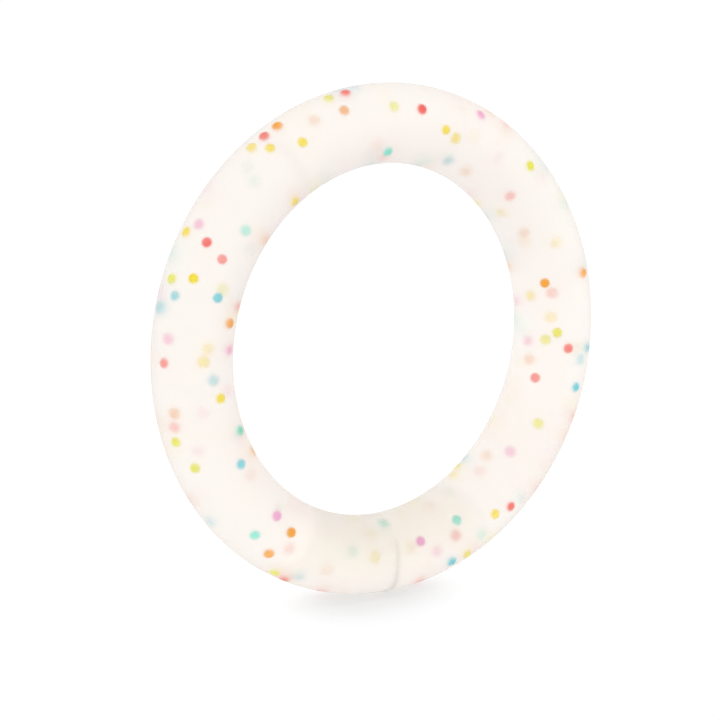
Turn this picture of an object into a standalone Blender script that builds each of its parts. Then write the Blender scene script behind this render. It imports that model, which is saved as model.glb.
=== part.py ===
"""Teething ring: a hollow tube of milky silicone bent round into a ring and
closed over an internal plug, with small coloured confetti pieces in its wall.

The ring stands on its edge. World frame: metres, +Z up, origin on the floor
under the ring's centre. The ring lies in the XZ plane and its axis is Y; its
front faces -Y.

Everything is laid out in the ring's own frame first: its local XY plane is the
ring's plane and local +Z points out of its front. Two angles place a thing:
  around  angle round the ring, from +X, turning up towards the ring's top
  turn    angle round the tube's section, 0 at the outer edge, 90 at the front,
          180 at the inner edge, -90 at the back
"""

import math
import random

import bmesh
import bpy
from mathutils import Matrix, Vector

# ---- driving dimensions (metres, degrees) ----
TUBE_R = 0.0065          # outside radius of the silicone tube
BORE_R = 0.00325         # radius of the tube's bore
RING_R = 0.03565         # radius of the tube's centre line
RING_STEPS = 72
TUBE_STEPS = 20
FIT_GAP = 0.0003         # clearance between neighbouring pieces

STAND_FLAT = 0.0002      # how far the soft tube is pressed flat where it stands
STAND_CUTTER_SIZE = (0.04, 0.02, 0.01)
CENTRE_Z = RING_R + TUBE_R - STAND_FLAT

SEAM_AT = -90.4          # the seam, close beside the ring's lowest point
SEAM_GAP = 0.0012        # space between the two cut ends, at the centre line
BOND_T = 0.0005          # thickness of the cured adhesive between the ends
BOND_INSET = 0.0002      # its outer edge lies this far under the tube's skin
BOND_STEPS = 24

PLUG_R = BORE_R - FIT_GAP
PLUG_HALF = 29.0         # the joining plug reaches this far either side of the seam
PLUG_POINTS = 17
PLUG_END_SCALE = 0.72    # the plug's radius at its two ends, as a share of PLUG_R

PIECE_R = 0.0008         # a confetti piece is a plump lentil
PIECE_HALF_T = 0.0006    # half its thickness
PIECE_AT = 0.0054        # its distance from the tube's centre line
PIECE_COVER = 0.0001     # clearance over it, under the tube's skin

# A pocket is a prism whose flat sides clear the piece; it opens into the bore.
POCKET_SIDES = 10
POCKET_R = (PIECE_R + FIT_GAP) / math.cos(math.pi / POCKET_SIDES)
POCKET_TOP = PIECE_AT + PIECE_HALF_T + PIECE_COVER
POCKET_FOOT = BORE_R - 0.0004

COLOURS = {
    "orange": (1.00, 0.43, 0.02),
    "yellow": (0.96, 0.72, 0.04),
    "lemon": (0.85, 0.85, 0.08),
    "coral": (1.00, 0.14, 0.12),
    "peach": (0.98, 0.55, 0.33),
    "orchid": (0.86, 0.44, 0.68),
    "sky": (0.25, 0.66, 0.84),
    "mint": (0.24, 0.78, 0.62),
    "teal": (0.20, 0.66, 0.50),
}

# ---- where the confetti lies ----
# Front: stirred in at random. How many pieces there are of each colour.
FRONT_MIX = {
    "coral": 10, "yellow": 9, "lemon": 8, "sky": 6, "orange": 5,
    "orchid": 4, "mint": 2, "teal": 1, "peach": 1,
}
FRONT_SEED = 5
FRONT_TURNS = (-15.0, 145.0)
PIECE_SPACING = 0.00275  # least distance between two piece centres
SEAM_CLEAR = 6.0         # no pieces this near the seam
STAND_CLEAR = 14.0       # nor this near it on the outer side, where the ring stands,
STAND_CLEAR_TURN = 35.0  # which is below this turn

# Three pieces in a row at the ring's outer edge, at its upper left.
CLUMP_COLOURS = ("orange", "coral", "yellow")
CLUMP_START = 118.0
CLUMP_PITCH = 4.0
CLUMP_TURN = 0.0

# Back: spread evenly round the ring, in a zigzag across the back of the tube.
BACK_COLOURS = ("sky", "coral", "yellow", "mint", "orange", "orchid", "lemon", "teal")
BACK_START = 20.0
BACK_PITCH = 360.0 / len(BACK_COLOURS)
BACK_TURN = -90.0
BACK_ZIGZAG = 24.0


def piece_centre(around, turn):
    a, t = math.radians(around), math.radians(turn)
    reach = RING_R + PIECE_AT * math.cos(t)
    return Vector((reach * math.cos(a), reach * math.sin(a), PIECE_AT * math.sin(t)))


def is_free(around, turn, placed):
    """Whether a piece here is clear of the seam, the stand and placed pieces."""
    from_seam = abs((around - SEAM_AT + 180.0) % 360.0 - 180.0)
    if from_seam < SEAM_CLEAR or (from_seam < STAND_CLEAR and turn < STAND_CLEAR_TURN):
        return False
    centre = piece_centre(around, turn)
    return all((centre - piece_centre(a, t)).length > PIECE_SPACING for _, a, t in placed)


def front_confetti():
    """The clump, then the random pieces, as (colour, around, turn)."""
    placed = [
        (colour, CLUMP_START + CLUMP_PITCH * i, CLUMP_TURN)
        for i, colour in enumerate(CLUMP_COLOURS)
    ]
    chance = random.Random(FRONT_SEED)
    colours = [colour for colour, count in FRONT_MIX.items() for _ in range(count)]
    chance.shuffle(colours)
    for colour in colours:
        while True:
            around = chance.uniform(-180.0, 180.0)
            turn = chance.uniform(*FRONT_TURNS)
            if is_free(around, turn, placed):
                break
        placed.append((colour, around, turn))
    return placed


def back_confetti():
    return [
        (
            colour,
            BACK_START + BACK_PITCH * i,
            BACK_TURN + (BACK_ZIGZAG if i % 2 else -BACK_ZIGZAG),
        )
        for i, colour in enumerate(BACK_COLOURS)
    ]


# ---- scene set-up ----
for ob in list(bpy.data.objects):
    bpy.data.objects.remove(ob, do_unlink=True)

parts = bpy.data.collections.new("teething_ring")
cutters = bpy.data.collections.new("cutters")
for collection in (parts, cutters):
    bpy.context.scene.collection.children.link(collection)

ring_frame = bpy.data.objects.new("ring_frame", None)
ring_frame.location = (0, 0, CENTRE_Z)
ring_frame.rotation_euler = (math.radians(90), 0, 0)
parts.objects.link(ring_frame)


# ---- helpers ----
def material(name, colour, roughness, alpha=1.0):
    mat = bpy.data.materials.new(name)
    mat.use_nodes = True
    shader = mat.node_tree.nodes["Principled BSDF"]
    shader.inputs["Base Color"].default_value = (*colour, 1.0)
    shader.inputs["Roughness"].default_value = roughness
    shader.inputs["Alpha"].default_value = alpha
    mat.diffuse_color = (*colour, alpha)
    return mat


def ring_directions(around):
    """Unit vectors out from the ring's centre and along the tube."""
    a = math.radians(around)
    radial = Vector((math.cos(a), math.sin(a), 0.0))
    along = Vector((-math.sin(a), math.cos(a), 0.0))
    return radial, along


def placement(origin, x_axis, y_axis, z_axis):
    turned = Matrix((x_axis, y_axis, z_axis)).transposed().to_4x4()
    return Matrix.Translation(origin) @ turned


def tube_matrix(around, turn, distance):
    """Ring-frame placement of a thing in the tube: local +Z points straight
    out of the tube, local +X along the ring."""
    t = math.radians(turn)
    radial, along = ring_directions(around)
    out = radial * math.cos(t) + Vector((0.0, 0.0, 1.0)) * math.sin(t)
    return placement(radial * RING_R + out * distance, along, out.cross(along), out)


def into_ring(ob, matrix, collection=parts):
    collection.objects.link(ob)
    ob.parent = ring_frame
    ob.matrix_local = matrix


def finish_mesh(name, bm, mat=None):
    mesh = bpy.data.meshes.new(name)
    bm.to_mesh(mesh)
    bm.free()
    if mat:
        mesh.materials.append(mat)
    return mesh


def cutter_object(name, mesh):
    ob = bpy.data.objects.new(name, mesh)
    ob.hide_render = True
    ob.display_type = "WIRE"
    return ob


def swept_object(name, profile, mat, angle, steps, close):
    """A closed loop of (x, z) points, swept round local Z by a Screw modifier."""
    bm = bmesh.new()
    verts = [bm.verts.new((x, 0.0, z)) for x, z in profile]
    for i, vert in enumerate(verts):
        bm.edges.new((vert, verts[(i + 1) % len(verts)]))
    ob = bpy.data.objects.new(name, finish_mesh(name, bm, mat))
    screw = ob.modifiers.new("sweep", "SCREW")
    screw.axis = "Z"
    screw.angle = angle
    screw.steps = steps
    screw.render_steps = steps
    screw.use_merge_vertices = close
    screw.merge_threshold = 0.00001
    screw.use_smooth_shade = True
    return ob


# ---- pieces ----
def build_ring_tube(mat):
    """A round section swept round the ring, open at the seam and hollowed,
    less everything in the cutters collection."""
    gap_angle = SEAM_GAP / RING_R
    section = []
    for i in range(TUBE_STEPS):
        angle = -2.0 * math.pi * i / TUBE_STEPS  # runs down the outer side
        section.append((RING_R + TUBE_R * math.cos(angle), TUBE_R * math.sin(angle)))
    sweep_angle = 2.0 * math.pi - gap_angle
    tube = swept_object("ring_tube", section, mat, sweep_angle, RING_STEPS, close=False)
    into_ring(tube, Matrix.Rotation(math.radians(SEAM_AT) + gap_angle / 2.0, 4, "Z"))

    wall = tube.modifiers.new("wall", "SOLIDIFY")
    wall.thickness = TUBE_R - BORE_R
    wall.offset = -1.0
    wall.use_even_offset = True
    wall.use_rim = True

    cut = tube.modifiers.new("pockets_and_stand", "BOOLEAN")
    cut.operation = "DIFFERENCE"
    cut.solver = "EXACT"
    cut.operand_type = "COLLECTION"
    cut.collection = cutters


def build_stand_cutter():
    """A block with its top on the floor, which cuts the flat the ring stands on."""
    bm = bmesh.new()
    bmesh.ops.create_cube(bm, size=1.0)
    bmesh.ops.scale(bm, vec=STAND_CUTTER_SIZE, verts=bm.verts)
    bmesh.ops.translate(bm, vec=(0.0, 0.0, -STAND_CUTTER_SIZE[2] / 2.0), verts=bm.verts)
    cutters.objects.link(cutter_object("stand_cutter", finish_mesh("stand_cutter", bm)))


def lentil_mesh(colour_name, mat):
    bm = bmesh.new()
    bmesh.ops.create_uvsphere(bm, u_segments=10, v_segments=4, radius=1.0)
    bmesh.ops.scale(bm, vec=(PIECE_R, PIECE_R, PIECE_HALF_T), verts=bm.verts)
    mesh = finish_mesh("lentil_" + colour_name, bm, mat)
    mesh.shade_smooth()
    return mesh


def pocket_mesh():
    bm = bmesh.new()
    bmesh.ops.create_cone(
        bm, cap_ends=True, segments=POCKET_SIDES,
        radius1=POCKET_R, radius2=POCKET_R, depth=POCKET_TOP - POCKET_FOOT,
    )
    return finish_mesh("pocket", bm)


def build_confetti(mats):
    """The confetti pieces, and a pocket cutter in the tube's wall for each."""
    lentils = {colour: lentil_mesh(colour, mat) for colour, mat in mats.items()}
    pocket = pocket_mesh()
    pocket_at = (POCKET_TOP + POCKET_FOOT) / 2.0
    counts = dict.fromkeys(COLOURS, 0)
    for colour, around, turn in front_confetti() + back_confetti():
        counts[colour] += 1
        label = "%s_%02d" % (colour, counts[colour])
        piece = bpy.data.objects.new("confetti_" + label, lentils[colour])
        into_ring(piece, tube_matrix(around, turn, PIECE_AT))
        cutter = cutter_object("pocket_" + label, pocket)
        into_ring(cutter, tube_matrix(around, turn, pocket_at), cutters)


def build_joining_plug(mat):
    """A short curved rod in both ends of the bore."""
    curve = bpy.data.curves.new("joining_plug", "CURVE")
    curve.dimensions = "3D"
    curve.bevel_depth = PLUG_R
    curve.bevel_resolution = 2
    curve.resolution_u = 1
    curve.use_fill_caps = True
    spline = curve.splines.new("POLY")
    last = PLUG_POINTS - 1
    spline.points.add(last)
    for i, point in enumerate(spline.points):
        a = math.radians(SEAM_AT - PLUG_HALF + 2.0 * PLUG_HALF * i / last)
        point.co = (RING_R * math.cos(a), RING_R * math.sin(a), 0.0, 1.0)
        point.radius = PLUG_END_SCALE if i in (0, last) else 1.0
    curve.materials.append(mat)
    into_ring(bpy.data.objects.new("joining_plug", curve), Matrix.Identity(4))


def build_seam_bond(mat):
    """The washer of cured adhesive between the tube's two ends."""
    outer_r = TUBE_R - BOND_INSET
    half_t = BOND_T / 2.0
    washer = [(outer_r, half_t), (outer_r, -half_t), (BORE_R, -half_t), (BORE_R, half_t)]
    bond = swept_object("seam_bond", washer, mat, 2.0 * math.pi, BOND_STEPS, close=True)
    radial, along = ring_directions(SEAM_AT)
    into_ring(bond, placement(radial * RING_R, radial, Vector((0.0, 0.0, 1.0)), -along))


# ---- build ----
silicone = material("milky_silicone", (0.98, 0.95, 0.90), roughness=0.42, alpha=0.45)
plug_silicone = material("plug_silicone", (0.95, 0.92, 0.86), roughness=0.45, alpha=0.6)
adhesive = material("silicone_adhesive", (0.80, 0.76, 0.68), roughness=0.35)
confetti_mats = {
    name: material("confetti_" + name, colour, roughness=0.4)
    for name, colour in COLOURS.items()
}

build_ring_tube(silicone)
build_stand_cutter()
build_confetti(confetti_mats)
build_joining_plug(plug_silicone)
build_seam_bond(adhesive)

bpy.context.view_layer.update()
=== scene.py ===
# A teething ring: a milky silicone tube bent into a ring, its two ends joined over
# a plug, with pieces of coloured confetti in its wall. Metres. The ring stands on
# its edge in the XZ plane, its axis is Y and its front faces -Y. Left is -X.
# Places are given as
#   around  degrees round the ring from +X, turning up towards the top
#   turn    degrees round the tube: 0 outer edge, 90 front, 180 inner edge, -90 back
import math
import random

import bpy
from mathutils import Matrix, Vector


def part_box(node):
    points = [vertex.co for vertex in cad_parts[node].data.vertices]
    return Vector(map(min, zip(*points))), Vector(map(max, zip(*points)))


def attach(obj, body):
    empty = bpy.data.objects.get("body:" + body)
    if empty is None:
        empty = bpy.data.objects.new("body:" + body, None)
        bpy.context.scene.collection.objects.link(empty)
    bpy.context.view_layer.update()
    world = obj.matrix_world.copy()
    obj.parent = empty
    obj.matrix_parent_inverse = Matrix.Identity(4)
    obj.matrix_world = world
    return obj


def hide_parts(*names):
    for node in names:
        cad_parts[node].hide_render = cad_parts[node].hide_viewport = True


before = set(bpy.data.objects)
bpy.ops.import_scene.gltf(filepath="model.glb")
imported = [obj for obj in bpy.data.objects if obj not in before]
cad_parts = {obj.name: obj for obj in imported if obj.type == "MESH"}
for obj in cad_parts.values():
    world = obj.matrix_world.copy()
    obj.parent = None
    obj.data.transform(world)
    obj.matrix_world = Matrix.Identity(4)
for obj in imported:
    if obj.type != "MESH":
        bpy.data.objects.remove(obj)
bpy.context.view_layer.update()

tube_low, tube_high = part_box("ring_tube")
TUBE_R = (tube_high.y - tube_low.y) / 2.0
RING_R = (tube_high.x - tube_low.x) / 2.0 - TUBE_R  # to the tube's centre line
CENTRE = Vector((0.0, 0.0, tube_high.z - RING_R - TUBE_R))
BORE_R = 0.00325

SEAM_AT = -90.4  # around, where the cut ends meet
SEAM_HALF = math.degrees(0.000012 / RING_R)  # half the gap between them
PLUG_HALF = 29.0  # degrees from the seam to either end of the plug

MILK_GLOW = (0.998, 0.943, 0.889)  # painted glow: the light that the milky silicone sends back, emitted by the milk itself
VIEW = Vector((-0.549, -0.799, 0.189))  # roughly towards the camera, about 1 long

scene = bpy.context.scene


# ------------------------------------------------------------------ geometry
def wrapped(angle):
    """The same angle from -180 up to 180 degrees."""
    return (angle + 180.0) % 360.0 - 180.0


def arc_length(degrees):
    """Length along the tube's centre line."""
    return math.radians(degrees) * RING_R


def in_tube(around, turn, distance):
    """A point in the tube and the directions out of it and along the ring."""
    a, b = math.radians(around), math.radians(turn)
    radial = Vector((math.cos(a), 0.0, math.sin(a)))
    along = Vector((-math.sin(a), 0.0, math.cos(a)))
    out = radial * math.cos(b) + Vector((0.0, -1.0, 0.0)) * math.sin(b)
    return CENTRE + radial * RING_R + out * distance, out, along


def seam_bend(around, turn):
    """The cut isn't quite square to the tube: degrees that it strays by."""
    reach = 6.0  # the sections next to the cut follow it up to here
    off = abs(wrapped(around - SEAM_AT))
    if off > reach:
        return 0.0
    stray = -0.35 + 1.15 * (1.0 - math.sin(math.radians(turn)) ** 4)
    return stray * 0.5 * (1.0 + math.cos(math.pi * off / reach))


def section(around, radius, sides):
    """One loop of points round the tube."""
    turns = [360.0 * k / sides for k in range(sides)]
    return [in_tube(around + seam_bend(around, t), t, radius)[0] for t in turns]


def eased(radius, from_end, ease):
    """The radius at a distance from a cut end whose edge is rounded by ease."""
    x = min(from_end / ease, 1.0)
    return radius - ease * (1.0 - math.sqrt(1.0 - (1.0 - x) ** 2))


def swept(loops, lowest):
    """A closed body: each loop is joined to the next and the last to the first.
    No point is left below the height lowest."""
    verts = [point for loop in loops for point in loop]
    for point in verts:
        point.z = max(point.z, lowest)
    sides = len(loops[0])
    faces = []
    for i in range(len(loops)):
        here, there = i * sides, (i + 1) % len(loops) * sides
        for k in range(sides):
            q = (k + 1) % sides
            faces.append((there + k, there + q, here + q, here + k))
    return verts, faces


def to_object(name, verts, faces, smooth=True):
    mesh = bpy.data.meshes.new(name)
    mesh.from_pydata([tuple(v) for v in verts], [], faces)
    mesh.validate()
    if smooth:
        mesh.shade_smooth()
    mesh.update()
    ob = bpy.data.objects.new(name, mesh)
    scene.collection.objects.link(ob)
    return ob


def stand_in(ob, solid):
    """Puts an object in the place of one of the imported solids."""
    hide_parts(solid)
    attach(ob, "root")


# ------------------------------------------------------------ material tools
def new_material(name):
    """An empty material, its node tree and its object coordinates."""
    mat = bpy.data.materials.new(name)
    mat.use_nodes = True
    mat.cycles.emission_sampling = "NONE"  # large dim glows, found well enough by chance
    tree = mat.node_tree
    tree.nodes.clear()
    return mat, tree, node(tree, "ShaderNodeTexCoord").outputs["Object"]


def node(tree, kind, inputs=None, **settings):
    """A new node. An input is given as a value or as the socket that feeds it."""
    made = tree.nodes.new(kind)
    for key, value in settings.items():
        setattr(made, key, value)
    for key, value in (inputs or {}).items():
        if isinstance(value, bpy.types.NodeSocket):
            tree.links.new(value, made.inputs[key])
        else:
            made.inputs[key].default_value = value
    return made


def rgba(colour):
    """Makes a plain colour opaque; a socket stays as it is."""
    return (*colour, 1.0) if isinstance(colour, tuple) else colour


def blend(tree, factor, first, second, blend_type="MIX"):
    inputs = {"Factor": factor, "A": rgba(first), "B": rgba(second)}
    mix = node(tree, "ShaderNodeMix", inputs, data_type="RGBA", blend_type=blend_type)
    return mix.outputs["Result"]


def multiplied(tree, first, second):
    return blend(tree, 1.0, first, second, "MULTIPLY")


def math_node(tree, operation, *inputs, clamp=False):
    made = node(
        tree, "ShaderNodeMath", dict(enumerate(inputs)), operation=operation, use_clamp=clamp
    )
    return made.outputs[0]


def noise(tree, coords, scale, detail=3.0):
    inputs = {"Vector": coords, "Scale": scale, "Detail": detail}
    return node(tree, "ShaderNodeTexNoise", inputs).outputs["Fac"]


def remap(tree, value, low, high):
    """Stretches the middle of a noise over the range from low to high."""
    inputs = {"Value": value, "From Min": 0.3, "From Max": 0.7, "To Min": low, "To Max": high}
    return node(tree, "ShaderNodeMapRange", inputs).outputs["Result"]


def uneven(tree, coords, scale, low=0.0, high=1.0, detail=3.0):
    return remap(tree, noise(tree, coords, scale, detail), low, high)


def smooth_range(tree, inputs):
    made = node(tree, "ShaderNodeMapRange", inputs, interpolation_type="SMOOTHSTEP")
    return made.outputs["Result"]


def attribute(tree, name):
    return node(tree, "ShaderNodeAttribute", attribute_name=name).outputs


def facing(tree):
    """0 where a surface faces the eye squarely, 1 at its outline."""
    return node(tree, "ShaderNodeLayerWeight", {"Blend": 0.5}).outputs["Facing"]


def mix_shaders(tree, factor, first, second):
    inputs = {"Fac": factor, 1: first, 2: second}
    return node(tree, "ShaderNodeMixShader", inputs).outputs["Shader"]


def output(tree, **inputs):
    node(tree, "ShaderNodeOutputMaterial", inputs)


# ----------------------------------------------------------------- materials
def milky_glow_volume(tree, per_metre):
    """What lies deeper in the body fades evenly into a painted glow: the milk
    emits the colour of the light that scatters inside it. per_metre is how fast."""
    fade = node(
        tree, "ShaderNodeVolumeAbsorption", {"Color": (0.0, 0.0, 0.0, 1.0), "Density": per_metre}
    )
    # painted glow, emitted in place of the light the milk scatters
    scattered = node(tree, "ShaderNodeEmission", {"Color": rgba(MILK_GLOW), "Strength": per_metre})
    inputs = {0: fade.outputs["Volume"], 1: scattered.outputs["Emission"]}
    return node(tree, "ShaderNodeAddShader", inputs).outputs["Shader"]


def skin_material():
    """Milky silicone under a matte moulded skin. The skin blurs what is seen
    through it, more the deeper it lies, and the milk fades it."""
    light, dark = (1.0, 1.0, 1.0), (0.992, 0.989, 0.986)
    rough = 0.7
    shine = 0.35
    # painted shade at the outline: where it starts, where it is full, and its tint
    rim_from, rim_to, rim_shade_tint = 0.2, 0.95, (0.955, 0.930, 0.922)

    mat, tree, coords = new_material("milky_silicone_skin")
    colour = blend(tree, uneven(tree, coords, scale=150.0), light, dark)
    # painted shade by place, with the seam and plug marks; its alpha weighs the painted rim shade
    shade = attribute(tree, "painted_shade_and_seam")
    colour = multiplied(tree, colour, shade["Color"])
    # painted rim shade: the edge of the outline, which goes through the most skin, is tinted
    # darker by facing
    edge = smooth_range(tree, {"Value": facing(tree), "From Min": rim_from, "From Max": rim_to})
    rim = math_node(tree, "MULTIPLY", edge, shade["Alpha"])
    painted_rim_shade = blend(tree, rim, (1.0, 1.0, 1.0), rim_shade_tint)
    grain = noise(tree, coords, scale=2600.0, detail=2.0)
    bump = node(
        tree, "ShaderNodeBump", {"Strength": 0.1, "Distance": 0.00003, "Height": grain}
    )
    shader = node(tree, "ShaderNodeBsdfPrincipled", {
        "Base Color": multiplied(tree, colour, painted_rim_shade),
        "Roughness": remap(tree, grain, rough - 0.03, rough + 0.03),
        "IOR": 1.41,
        "Specular Tint": (shine, shine, shine, 1.0),
        "Transmission Weight": 1.0,
        "Normal": bump.outputs["Normal"],
    })
    output(tree, Surface=shader.outputs["BSDF"], Volume=milky_glow_volume(tree, per_metre=110.0))
    return mat


def film_material(name, share, tone=MILK_GLOW, by_place=False):
    """A face inside the milk: straight through, but for a share of milky film,
    a painted glow that the face emits.
    """
    mat, tree, coords = new_material(name)
    paler = tuple(min(c * 1.01, 1.0) for c in tone)
    colour = blend(tree, uneven(tree, coords, scale=300.0), tone, paler)
    if by_place:
        # over the plug: partly the plug's denser silicone, partly painted shade
        colour = multiplied(tree, colour, attribute(tree, "painted_shade_and_seam")["Color"])
    # painted glow: the film emits its colour
    film = node(tree, "ShaderNodeEmission", {"Color": colour})
    clear = node(tree, "ShaderNodeBsdfTransparent")
    filmed = uneven(tree, coords, scale=500.0, low=share - 0.01, high=share + 0.01)
    surface = mix_shaders(tree, filmed, clear.outputs["BSDF"], film.outputs["Emission"])
    output(tree, Surface=surface)
    return mat


def plug_material():
    """The plug's denser silicone, lit through the wall round it: that light is
    a painted glow.
    """
    light, dark = (0.93, 0.92, 0.86), (0.90, 0.885, 0.82)
    mat, tree, coords = new_material("plug_silicone_dense_glow")
    tone = blend(tree, uneven(tree, coords, scale=260.0), light, dark)
    shader = node(tree, "ShaderNodeBsdfPrincipled", {
        "Base Color": tone,
        # painted glow for the light that comes through the wall
        "Emission Color": tone,
        "Emission Strength": 0.3,
        "Roughness": uneven(tree, coords, scale=2400.0, low=0.5, high=0.6),
    })
    output(tree, Surface=shader.outputs["BSDF"])
    return mat


def confetti_material(name, colour):
    """Pigmented silicone, a little uneven from piece to piece. The deeper a
    piece lies in the milk, the softer it gets and the paler it is painted, under
    a painted veil in the colour of the milk's glow."""
    painted_veil_per_depth = 0.45  # how much painted veil of the milk's glow a piece of depth 1 has
    # how far in from its outline a piece turns solid, at depth 0 and more per depth
    soft_edge, softer_deep = 0.3, 0.7

    mat, tree, coords = new_material(name)
    paler = tuple(c + (1.0 - c) * 0.10 for c in colour)
    deeper = tuple(c * 0.96 for c in colour)
    mixed = blend(tree, uneven(tree, coords, scale=420.0, detail=2.0), deeper, paler)
    deep = attribute(tree, "deep")["Fac"]
    painted_veil = blend(tree, math_node(tree, "MULTIPLY", deep, painted_veil_per_depth), mixed, MILK_GLOW)
    shader = node(tree, "ShaderNodeBsdfPrincipled", {
        "Base Color": painted_veil,
        "Specular IOR Level": 0.05,
        "Roughness": uneven(tree, coords, scale=5200.0, low=0.45, high=0.6, detail=2.0),
    })
    square = math_node(tree, "SUBTRACT", 1.0, facing(tree))
    reach = math_node(tree, "MULTIPLY_ADD", deep, softer_deep, soft_edge, clamp=True)
    solid = smooth_range(tree, {"Value": square, "From Max": reach})
    clear = node(tree, "ShaderNodeBsdfTransparent")
    surface = mix_shaders(tree, solid, clear.outputs["BSDF"], shader.outputs["BSDF"])
    output(tree, Surface=surface)
    return mat


# --------------------------------------- painted shade on the milk, by place
# Painted shade, as what is taken from red, green and blue: over the left side;
# towards the inner edge everywhere, more at the left, the top and the bottom; at the
# lower right's outer edge; and over the plug, where it is partly the plug's denser
# silicone seen through the wall and partly painted shade
PAINTED_SHADE_BY_PLACE = (
    # left, inner, inner left, inner top, inner bottom, lower right, plug
    (0.014, 0.005, 0.025, 0.050, 0.015, 0.050, 0.062),
    (0.012, 0.010, 0.035, 0.058, 0.020, 0.045, 0.060),
    (0.014, 0.012, 0.035, 0.052, 0.020, 0.050, 0.074),
)
PLUG_SHADE_ON_FILM = (0.125, 0.150, 0.182)  # what the plug takes from the bore's film glow: partly its denser silicone, partly painted shade
PLUG_END_DARK = 0.016
SEAM_DARK, SEAM_WIDTH = 0.085, 0.00052  # the seam's dark line
SEAM_HAZE, SEAM_HAZE_WIDTH = 0.025, 0.0012  # and the fainter one round it
RIM_SHADE_INSIDE = 0.1  # how much of the painted rim shade the inner edge has
CREASE_SHADES = (
    # painted shade in the creases: around, lean along the turn, half width (degrees), depth, turn
    # where strongest
    (122.7, 0.3, 1.8, 0.038, 75.0),
    (71.0, -2.0, 0.9, 0.019, 50.0),
    (-5.0, 3.0, 1.0, 0.018, 100.0),
    (-25.0, -3.0, 1.2, 0.008, 100.0),
    (-131.0, 2.0, 0.9, 0.023, 140.0),
    (-175.0, 3.0, 1.2, 0.010, 60.0),
)
# the share of the painted shade in the creases that red, green and blue get
CREASE_SHADE_TINT = (0.8, 1.0, 1.0)


def soft(x, low, high):
    """0 up to low, 1 from high on, smooth between."""
    t = min(max((x - low) / (high - low), 0.0), 1.0)
    return t * t * (3.0 - 2.0 * t)


def bump_at(x, middle, width):
    return math.exp(-(((x - middle) / width) ** 2))


def plug_here(around, soften):
    """1 where the plug is inside, 0.8 past the seam, falling off over its ends."""
    off = wrapped(around - SEAM_AT)
    inside = 1.0 - soft(abs(off), PLUG_HALF - soften, PLUG_HALF + 0.7 * soften)
    return inside * (1.0 if off < 0.0 else 0.8)


def seam_line(off, outward):
    """The seam's darkness, fading out at the inner edge. outward is 1 at the
    outer edge and -1 at the inner one."""
    distance = arc_length(off)
    line = SEAM_DARK * bump_at(distance, 0.0, SEAM_WIDTH)
    line += SEAM_HAZE * math.exp(-distance / SEAM_HAZE_WIDTH)
    return line * soft(outward, -0.8, -0.1) * (1.0 + 0.45 * soft(outward, 0.0, 0.6))


# painted shade along the creases across the tube
def crease_shade_depth(around, turn):
    total = 0.0
    for at, lean, width, depth, strongest in CREASE_SHADES:
        bent = at + lean * (turn - strongest) / 60.0
        off = abs(wrapped(around - bent))
        if off < 3.0 * width:
            total += depth * bump_at(off, 0.0, width) * bump_at(turn, strongest, 50.0)
    return total


def painted_shade_and_seam(around, turn):
    """Painted shade on the skin by place, with the seam's dark line, the plug's
    ends and, over the plug, partly its denser silicone. The same on the front and the back.
    """
    outward = math.cos(math.radians(turn))
    upward = math.sin(math.radians(around))
    inner = soft(-outward, -0.45, 1.0)
    high = soft(upward, -0.2, 0.9)
    low = soft(-upward, 0.3, 0.95)
    left = 0.5 - 0.5 * math.cos(math.radians(around))
    low_right = soft(outward, 0.3, 1.0) * bump_at(around, -45.0, 28.0)
    # the plug shows most through the wall's inner half
    plugged = plug_here(around, 4.0) * (0.2 + 0.8 * soft(turn, 60.0, 140.0))
    # painted shade over the left, towards the inner edge, at the lower right's outer edge and,
    # partly, over the plug
    weights = (left, inner, inner * left, inner * high, inner * low, low_right, plugged)

    off = abs(wrapped(around - SEAM_AT))
    plug_end = PLUG_END_DARK * bump_at(off, PLUG_HALF, 1.2) * bump_at(turn, 100.0, 50.0)
    dark = plug_end + seam_line(off, outward)
    crease_shade = crease_shade_depth(around, turn)
    return [
        1.0 - sum(w * amount for w, amount in zip(weights, amounts)) - dark - crease_shade * tint
        for amounts, tint in zip(PAINTED_SHADE_BY_PLACE, CREASE_SHADE_TINT)
    ]


def painted_skin_shade(around, turn):
    """Painted shade, with the seam and plug marks, and the painted rim shade's
    weight on the outer wall. What passes the skin is tinted by the root of its
    colour, hence the squares."""
    outer = soft(math.cos(math.radians(turn)), -0.6, 0.4)
    colour = [c * c for c in painted_shade_and_seam(around, abs(turn))]
    return [*colour, RIM_SHADE_INSIDE + (1.0 - RIM_SHADE_INSIDE) * outer]


# over the plug the bore's film glow is darker: partly the plug's denser silicone, partly painted
# shade
def plug_shade_on_bore_film(around):
    plugged = plug_here(around, 3.0)
    return [*(1.0 - plugged * c for c in PLUG_SHADE_ON_FILM), 1.0]


# --------------------------------------------------------- the silicone tube
TUBE_SIDES = 128
OUTER_STEPS, BORE_STEPS = 480, 240
EASE = 0.00003  # rounding of the cut ends, which leaves the fine line of the seam
# distances of the closely set sections from each cut end
NEAR_END = (
    0.0, 0.000015, 0.00004, 0.00007, 0.0001, 0.00014, 0.0002, 0.00028, 0.00036, 0.00046, 0.0006
)


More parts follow.
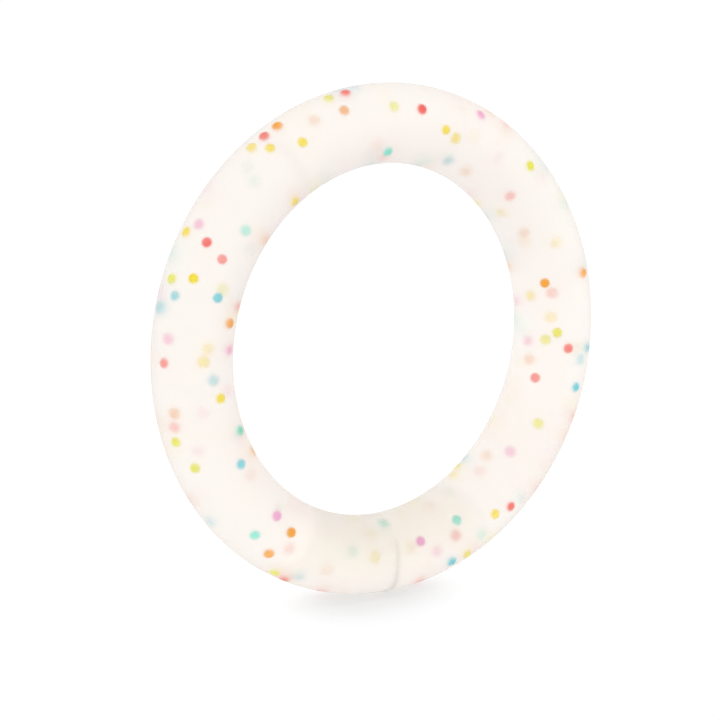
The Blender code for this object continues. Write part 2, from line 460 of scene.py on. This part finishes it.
def build_tube():
    """Outer wall from one cut end round to the other, over the end, and back
    along the bore."""
    start, stop = SEAM_AT + SEAM_HALF, SEAM_AT + 360.0 - SEAM_HALF
    near = [math.degrees(distance / RING_R) for distance in NEAR_END]
    span = stop - start - 2 * near[-1]
    outer = [start + d for d in near[:-1]]
    outer += [start + near[-1] + span * i / OUTER_STEPS for i in range(OUTER_STEPS + 1)]
    outer += [stop - d for d in reversed(near[:-1])]
    bore = [stop - (stop - start) * i / BORE_STEPS for i in range(BORE_STEPS + 1)]

    loops = []
    for around in outer:
        from_end = arc_length(min(around - start, stop - around))
        loops.append(section(around, eased(TUBE_R, from_end, EASE), TUBE_SIDES))
    loops += [section(around, BORE_R, TUBE_SIDES) for around in bore]
    body = to_object("ring_tube_skin", *swept(loops, lowest=0.0))

    # inside the tube the bore and the cut ends only carry a thin film of painted glow
    body.data.materials.append(skin_material())
    body.data.materials.append(film_material("bore_wall_film_glow", share=0.5, by_place=True))
    body.data.materials.append(film_material("cut_end_film_glow", share=0.03))
    for i, poly in enumerate(body.data.polygons):
        row = i // TUBE_SIDES
        if row in (len(outer) - 1, len(loops) - 1):
            poly.material_index = 2
        elif row >= len(outer):
            poly.material_index = 1

    painted_shades = []
    for around in outer:
        for k in range(TUBE_SIDES):
            painted_shades.extend(painted_skin_shade(wrapped(around), wrapped(360.0 * k / TUBE_SIDES)))
    for around in bore:
        painted_shades.extend(plug_shade_on_bore_film(wrapped(around)) * TUBE_SIDES)
    layer = body.data.color_attributes.new("painted_shade_and_seam", "FLOAT_COLOR", "POINT")
    layer.data.foreach_set("color", painted_shades)
    stand_in(body, "ring_tube")


# -------------------------------------------------------------- joining plug
PLUG_R = BORE_R - 0.0001
PLUG_EASE = 0.0008  # rounding of its ends
PLUG_SIDES, PLUG_STEPS = 48, 60


def build_plug():
    verts = []
    for i in range(PLUG_STEPS + 1):
        x = -1.0 + 2.0 * i / PLUG_STEPS
        radius = eased(PLUG_R, arc_length(PLUG_HALF * (1.0 - abs(x))), PLUG_EASE)
        verts.extend(section(SEAM_AT + PLUG_HALF * x, radius, PLUG_SIDES))
    last = PLUG_STEPS * PLUG_SIDES
    first_middle, last_middle = len(verts), len(verts) + 1
    verts.append(in_tube(SEAM_AT - PLUG_HALF, 0, 0)[0])
    verts.append(in_tube(SEAM_AT + PLUG_HALF, 0, 0)[0])

    neighbours = [(k, (k + 1) % PLUG_SIDES) for k in range(PLUG_SIDES)]
    faces = []
    for here in range(0, last, PLUG_SIDES):
        there = here + PLUG_SIDES
        faces.extend((here + k, there + k, there + q, here + q) for k, q in neighbours)
    for k, q in neighbours:
        faces.append((first_middle, k, q))
        faces.append((last_middle, last + q, last + k))
    plug = to_object("joining_plug_body", verts, faces)
    plug.data.materials.append(plug_material())
    stand_in(plug, "joining_plug")


# ----------------------------------------------------------------- seam bond
BOND_HALF = SEAM_HALF * 0.8
BOND_OUTER_R = TUBE_R - 0.00017
BOND_INNER_R = BORE_R + 0.00004
BOND_TINT = (0.80, 0.77, 0.70)


def build_bond():
    """The thin washer of adhesive between the cut ends."""
    corners = (
        (SEAM_AT - BOND_HALF, BOND_OUTER_R),
        (SEAM_AT + BOND_HALF, BOND_OUTER_R),
        (SEAM_AT + BOND_HALF, BOND_INNER_R),
        (SEAM_AT - BOND_HALF, BOND_INNER_R),
    )
    loops = [section(around, radius, 96) for around, radius in corners]
    bond = to_object("seam_bond_line", *swept(loops, lowest=0.00002), smooth=False)
    tone = tuple(m * c for m, c in zip(MILK_GLOW, BOND_TINT))
    # the adhesive's own darker tone, shown as a film of painted glow
    bond.data.materials.append(film_material("silicone_adhesive_line", share=0.06, tone=tone))
    stand_in(bond, "seam_bond")


build_tube()
build_plug()
build_bond()

# ------------------------------------------------------------------ confetti
COLOURS = {
    "orange": (1.00, 0.41, 0.002),
    "yellow": (1.00, 0.82, 0.002),
    "lemon": (0.88, 0.88, 0.06),
    "coral": (0.98, 0.11, 0.09),
    "peach": (0.97, 0.52, 0.24),
    "orchid": (0.97, 0.45, 0.73),
    "sky": (0.13, 0.69, 0.82),
    "mint": (0.16, 0.90, 0.74),
    "teal": (0.13, 0.77, 0.57),
}
PIECE_R = 0.0008
PIECE_HALF_H = 0.0006
SPACING = 0.0019  # least distance between the middles of two pieces
# distances from the tube's centre line
FARTHEST_OUT = 0.00645  # no point of a piece lies beyond this
UNDER_SKIN = 0.00578  # where a piece moved towards the eye comes to lie
OUTLINE_FROM = 0.0050  # pieces beyond this may be turned towards the eye
OUTLINE_START = 0.0056  # such a piece is drawn in to here before it is moved
FACED_UPTO = 0.42  # how far in from the outline pieces are turned

# The clump at the upper left, pressed flat against the skin
CLUMP_AROUND = (110.0, 130.0)
CLUMP_OUTWARD = 0.0050  # its least distance outward from the centre line
CLUMP_FACED_UPTO = 0.6

# A piece's depth: 0 this far under the skin, 1 more for each scale, up to the limit
DEPTH_START, DEPTH_SCALE, DEPTH_LIMIT = 0.00095, 0.00085, 1.9
SOLID_DEPTHS = (0.0, 0.0, 0.1, 0.3, 0.6)

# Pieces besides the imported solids:
# colour, around, turn, distance from the centre line (mm)
LISTED_PIECES = (
    ("yellow", 178.25, 80, 4.7), ("yellow", 175, 90, 4.4), ("orchid", 173.5, 11, 4.9),
    ("lemon", 168.75, 132, 4.6), ("sky", 167.3, -36, 5.0), ("lemon", 159.5, 98, 4.4),
    ("orange", 156.95, 42.7, 5.65), ("coral", 152.25, 57, 5.0), ("orchid", 147.25, 7, 5.1),
    ("mint", 146.25, 134, 3.9), ("orchid", 146, -7, 4.6), ("mint", 143.5, 89, 4.9),
    ("mint", 132.2, 49, 4.0), ("sky", 131.3, 37, 4.4), ("sky", 130.1, 13, 3.9),
    ("yellow", 125.25, 20, 5.3), ("yellow", 125.5, -16, 5.6), ("coral", 121.3, -14, 5.6),
    ("orange", 118.75, -10, 5.6), ("peach", 110.75, 30, 4.5), ("sky", 97, 160, 3.9),
    ("coral", 95, 128, 3.9), ("coral", 90.8, 168, 4.5), ("lemon", 90, 54, 5.0),
    ("mint", 73.15, 176, 4.4), ("yellow", 75, 89, 5.5), ("yellow", 70.75, 98, 5.0),
    ("sky", 68.25, 146, 4.7), ("yellow", 64, 77, 3.5), ("peach", 59.75, 154, 4.4),
    ("orchid", 54.25, 86, 3.3), ("sky", 45.5, 63, 5.2), ("coral", 43.5, 129, 4.6),
    ("yellow", 39, 170, 4.4), ("orchid", 38.5, 39, 3.9), ("peach", 30, 146, 4.4),
    ("yellow", 26.5, 157, 3.9), ("yellow", 23.25, 93, 4.3), ("mint", 22.75, 107, 4.8),
    ("orange", 13.15, 134.2, 5.75), ("coral", 9.25, 125, 4.3), ("yellow", 8.75, 170, 4.7),
    ("yellow", 2, 131, 4.4), ("lemon", -4.75, 139, 5.0), ("orchid", -6, 179, 4.7),
    ("orchid", -6.25, 109, 3.9), ("yellow", -7, 66, 3.9), ("sky", -9.75, 55, 4.9),
    ("peach", -11.75, 170, 4.5), ("yellow", -16.5, 71, 4.6), ("lemon", -25.25, -141, 4.0),
    ("lemon", -29.5, 114, 5.0), ("orchid", -30.75, -128, 3.9), ("coral", -37.5, 29, 3.9),
    ("orchid", -40.75, 135, 4.7), ("peach", -45.25, 177, 4.3), ("coral", -45.5, -165, 4.6),
    ("sky", -47.75, 40, 4.4), ("coral", -50.75, 168, 3.9), ("peach", -52.25, 63, 4.9),
    ("yellow", -56, -149, 5.0), ("mint", -62, -171, 3.9), ("mint", -62.25, 52, 4.5),
    ("coral", -70, 90, 4.5), ("coral", -70.5, -177, 3.9), ("orchid", -76.75, 78, 4.5),
    ("coral", -80, 10, 5.5), ("yellow", -80, -159, 4.0), ("yellow", -84.25, 103, 3.9),
    ("mint", -90, 165, 4.8), ("yellow", -93.1, 172, 4.4), ("yellow", -96.25, 148, 4.0),
    ("yellow", -96.5, 96, 4.4), ("mint", -103.75, 105, 4.1), ("peach", -109.75, 56, 4.1),
    ("sky", -114.75, 21, 4.6), ("lemon", -119.5, 14, 4.7), ("coral", -123, 69, 4.1),
    ("peach", -126.25, 98, 5.3), ("mint", -132, 127, 3.9), ("mint", -133.75, 54, 5.3),
    ("mint", -134, 35, 4.4), ("sky", -140.25, -15, 4.9), ("coral", -146, 128, 4.0),
    ("sky", -152, 107, 5.4), ("lemon", -155.25, 48, 4.7), ("orchid", -156.8, 157, 4.4),
    ("coral", -157.75, 25, 4.0), ("orchid", -159.75, 43, 4.0), ("coral", -166.25, 10, 4.6),
    ("orchid", -168.9, 73, 4.0), ("peach", -169.75, 19, 4.9), ("orchid", -172.2, 149, 4.4),
    ("sky", -176.75, 100, 4.7),
)

# The side turned away from the camera: pieces scattered by chance
SCATTER_COUNT, SCATTER_TRIES = 118, 20000
SCATTER_FARTHEST, SCATTER_SPREAD = 0.0057, 0.0028  # distances from the centre line
SCATTER_FACING = -0.12  # pieces facing the eye more than this are left out
SCATTER_OFF_SEAM = 1.6  # degrees kept free on either side of the seam
SCATTER_SHARES = {
    "yellow": 8, "coral": 7, "lemon": 5, "sky": 5, "orchid": 5,
    "mint": 4, "orange": 4, "peach": 3, "teal": 2,
}


def lentil_mesh():
    """A lentil round local Z, as unit points and faces."""
    n_round, n_up = 20, 10
    points = [(0.0, 0.0, 1.0)]
    for i in range(1, n_up):
        p = math.pi * i / n_up
        # flatter faces and a rounder rim than an ellipsoid
        s = math.sin(p) ** 0.85
        for k in range(n_round):
            q = 2.0 * math.pi * k / n_round
            points.append((s * math.cos(q), s * math.sin(q), math.cos(p)))
    points.append((0.0, 0.0, -1.0))

    neighbours = [(k, (k + 1) % n_round) for k in range(n_round)]
    faces = [(0, 1 + k, 1 + q) for k, q in neighbours]
    for i in range(n_up - 2):
        a, b = 1 + i * n_round, 1 + (i + 1) * n_round
        faces.extend((a + k, b + k, b + q, a + q) for k, q in neighbours)
    last = len(points) - 1
    base = last - n_round
    faces.extend((last, base + q, base + k) for k, q in neighbours)
    return points, faces


LENTIL_POINTS, LENTIL_FACES = lentil_mesh()
chance = random.Random(41)
placed = []  # the middles of the pieces so far
groups = {colour: ([], [], []) for colour in COLOURS}  # points, faces, depths


def from_centre_line(point):
    """The offset from the tube's centre line and the ring's radial direction."""
    d = point - CENTRE
    radial = Vector((d.x, 0.0, d.z)).normalized()
    return d - radial * RING_R, radial


def faced(out, upto=FACED_UPTO):
    """Which way a piece's flat side faces: near the outline, towards the eye.
    Elsewhere it is out itself."""
    return (out * 0.6 + VIEW).normalized() if -0.1 < out.dot(VIEW) < upto else out


def square_to(along, flat_way):
    return (along - flat_way * along.dot(flat_way)).normalized()


def nearer(place, limit):
    """Near the outline, a piece moved along the line of sight until it lies
    close under the skin, by no more than the limit."""
    off, _ = from_centre_line(place)
    k = off.dot(VIEW)
    step = -k + math.sqrt(max(k * k + UNDER_SKIN ** 2 - off.length_squared, 0.0))
    return place + VIEW * min(max(step, 0.0), limit)


def kept_in(points):
    """A piece moved back until none of it lies too far out."""
    farthest = max((from_centre_line(p)[0] for p in points), key=lambda off: off.length)
    back = farthest.normalized() * max(farthest.length - FARTHEST_OUT, 0.0)
    return [p - back for p in points]


def random_turn(tilt_limit):
    """A tilt and a spin, in radians."""
    return math.radians(chance.uniform(-tilt_limit, tilt_limit)), chance.uniform(0, 6.28)


def lentil(place, flat_way, along, tilt, spin, grow):
    """The points of one piece."""
    axes = Matrix((along, flat_way.cross(along), flat_way)).transposed()
    turned = axes @ Matrix.Rotation(spin, 3, "Z") @ Matrix.Rotation(tilt, 3, "X")
    size = grow * (1.0 + chance.uniform(-0.04, 0.04))
    return kept_in([
        place + turned @ Vector((x * PIECE_R * size, y * PIECE_R * size, z * PIECE_HALF_H * size))
        for x, y, z in LENTIL_POINTS
    ])


def confetti_object(name, points, faces, depths, colour):
    ob = to_object(name, points, faces)
    ob.data.attributes.new("deep", "FLOAT", "POINT").data.foreach_set("value", depths)
    ob.data.materials.append(confetti_mats[colour])
    return ob


def build_solid_piece(name):
    """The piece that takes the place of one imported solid."""
    low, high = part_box(name)
    place = (low + high) / 2.0
    off, radial = from_centre_line(place)
    out = off.normalized()
    around = math.degrees(math.atan2(radial.z, radial.x))
    clump = CLUMP_AROUND[0] < around < CLUMP_AROUND[1] and off.dot(radial) > CLUMP_OUTWARD
    flat_way = faced(out, CLUMP_FACED_UPTO if clump else FACED_UPTO)
    along = square_to(Vector((-radial.z, 0.0, radial.x)), flat_way)
    if flat_way is out:
        at = place + out * 0.00022
    else:
        at = nearer(place + out * 0.0001, limit=0.0006 if clump else 0.0003)
    points = lentil(at, flat_way, along, *random_turn(14), grow=1.13 if clump else 1.05)
    depths = [chance.choice(SOLID_DEPTHS)] * len(points)
    colour = name.split("_")[1]
    ob = confetti_object(name + "_piece", points, LENTIL_FACES, depths, colour)
    stand_in(ob, name)
    placed.append(place)


def add_piece(colour, place, out, along):
    """Adds a piece to the group of its colour."""
    tilt, spin = random_turn(25)
    off, _ = from_centre_line(place)
    deep = (TUBE_R - off.length - DEPTH_START) / DEPTH_SCALE
    deep = min(max(deep, 0.0), DEPTH_LIMIT)
    grow = 1.0 + 0.22 * min(deep, 1.2)
    flat_way = faced(out) if off.length > OUTLINE_FROM else out
    if flat_way is not out:
        place = nearer(place - out * max(off.length - OUTLINE_START, 0.0), limit=0.0008)
        along = square_to(along, flat_way)
        tilt *= 0.5
        grow += 0.2
    points, faces, depths = groups[colour]
    base = len(points)
    points.extend(lentil(place, flat_way, along, tilt, spin, grow))
    faces.extend(tuple(base + i for i in face) for face in LENTIL_FACES)
    depths.extend([deep] * len(LENTIL_POINTS))
    placed.append(place)


def taken(place):
    return any((place - p).length < SPACING for p in placed)


def add_listed_pieces():
    for colour, around, turn, mm in LISTED_PIECES:
        place, out, along = in_tube(around, turn, mm / 1000.0)
        if not taken(place):
            add_piece(colour, place, out, along)


def scatter_far_side():
    weighted = [colour for colour, share in SCATTER_SHARES.items() for _ in range(share)]
    made = tries = 0
    while made < SCATTER_COUNT and tries < SCATTER_TRIES:
        tries += 1
        around = chance.uniform(-180, 180)
        turn = chance.uniform(-180, 180)
        distance = SCATTER_FARTHEST - SCATTER_SPREAD * chance.random() ** 1.6
        place, out, along = in_tube(around, turn, distance)
        if out.dot(VIEW) > SCATTER_FACING:
            continue
        if abs(wrapped(around - SEAM_AT)) < SCATTER_OFF_SEAM or taken(place):
            continue
        add_piece(chance.choice(weighted), place, out, along)
        made += 1


confetti_mats = {c: confetti_material("confetti_" + c, rgb) for c, rgb in COLOURS.items()}
for solid_name in sorted(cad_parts):
    if solid_name.startswith("confetti_"):
        build_solid_piece(solid_name)
add_listed_pieces()
scatter_far_side()
for colour, group in groups.items():
    if group[0]:
        ob = confetti_object("confetti_" + colour + "_scatter", *group, colour)
        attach(ob, "root")


# -------------------------------------------------------------------- studio
def floor_material():
    """A white light table: lit from above in an oval round the ring's foot,
    glowing by itself further out. That glow is painted light that hides the cast
    shadow, so the oval gives the shadow its shape."""
    white = (0.740, 0.745, 0.754)
    mat, tree, coords = new_material("studio_floor_white")
    dimmer = tuple(c * 0.996 for c in white)
    lit = node(tree, "ShaderNodeBsdfDiffuse", {
        "Color": blend(tree, uneven(tree, coords, scale=6.0), white, dimmer)
    })
    # painted glow, on which no shadow falls
    glow = node(tree, "ShaderNodeEmission", {"Strength": 1.03})
    oval = node(tree, "ShaderNodeMapping", {
        "Location": (-0.0032, -0.0030, 0.0),
        "Rotation": (0.0, 0.0, math.radians(-34.0)),
        "Scale": (0.0195, 0.030, 1.0),
        "Vector": coords,
    }, vector_type="TEXTURE")
    far = node(tree, "ShaderNodeVectorMath", {0: oval.outputs["Vector"]}, operation="LENGTH")
    # the lit share, which alone takes the cast shadow, from the middle of the oval to its edge
    share = smooth_range(tree, {
        "Value": far.outputs["Value"],
        "From Min": 0.2, "From Max": 1.0, "To Min": 0.66, "To Max": 0.0,
    })
    output(tree, Surface=mix_shaders(tree, share, glow.outputs["Emission"], lit.outputs["BSDF"]))
    return mat


def build_floor():
    bpy.ops.mesh.primitive_circle_add(vertices=128, radius=3.4, fill_type="NGON")
    floor = bpy.context.object
    floor.name = "studio_floor"
    floor.data.materials.append(floor_material())


def build_world():
    world = bpy.data.worlds.new("soft_studio")
    scene.world = world
    world.use_nodes = True
    background = world.node_tree.nodes["Background"]
    background.inputs["Color"].default_value = (0.985, 0.992, 1.0, 1.0)
    background.inputs["Strength"].default_value = 1.03


def build_light():
    """A very wide soft light from above, behind and to the right, so that the
    shadow lies in front of the ring and to its left."""
    data = bpy.data.lights.new("overhead", "SUN")
    data.energy = 1.6
    data.angle = math.radians(100.0)
    light = bpy.data.objects.new("overhead", data)
    scene.collection.objects.link(light)
    towards = Vector((-0.42, -0.62, -1.0))
    light.rotation_euler = towards.to_track_quat("-Z", "Y").to_euler()
    light.visible_transmission = False  # the milk glows by itself
    light.visible_glossy = False


def build_camera():
    azimuth, elevation = math.radians(-34.0), math.radians(10.88)
    # the camera's place from the ring's centre, in ring radii
    back, leftward, down = 16.0, 0.0843263, 0.0902841

    forward = Vector((
        -math.sin(azimuth) * math.cos(elevation),
        math.cos(azimuth) * math.cos(elevation),
        -math.sin(elevation),
    ))
    right = Vector((math.cos(azimuth), math.sin(azimuth), 0.0))
    up = right.cross(forward)
    data = bpy.data.cameras.new("camera")
    data.sensor_width = 36.0
    data.lens = 174.55
    data.clip_start = 0.01
    data.clip_end = 20.0
    camera = bpy.data.objects.new("camera", data)
    scene.collection.objects.link(camera)
    camera.location = CENTRE - (forward * back + right * leftward + up * down) * RING_R
    camera.rotation_mode = "QUATERNION"
    camera.rotation_quaternion = forward.to_track_quat("-Z", "Y")
    scene.camera = camera


def set_render():
    scene.view_settings.view_transform = "Standard"
    scene.view_settings.look = "None"
    cycles = scene.cycles
    cycles.max_bounces = 24
    cycles.diffuse_bounces = 8
    cycles.glossy_bounces = 8
    cycles.transmission_bounces = 20
    cycles.transparent_max_bounces = 32
    cycles.use_denoising = True
    cycles.adaptive_threshold = 0.005


build_floor()
build_world()
build_light()
build_camera()
set_render()
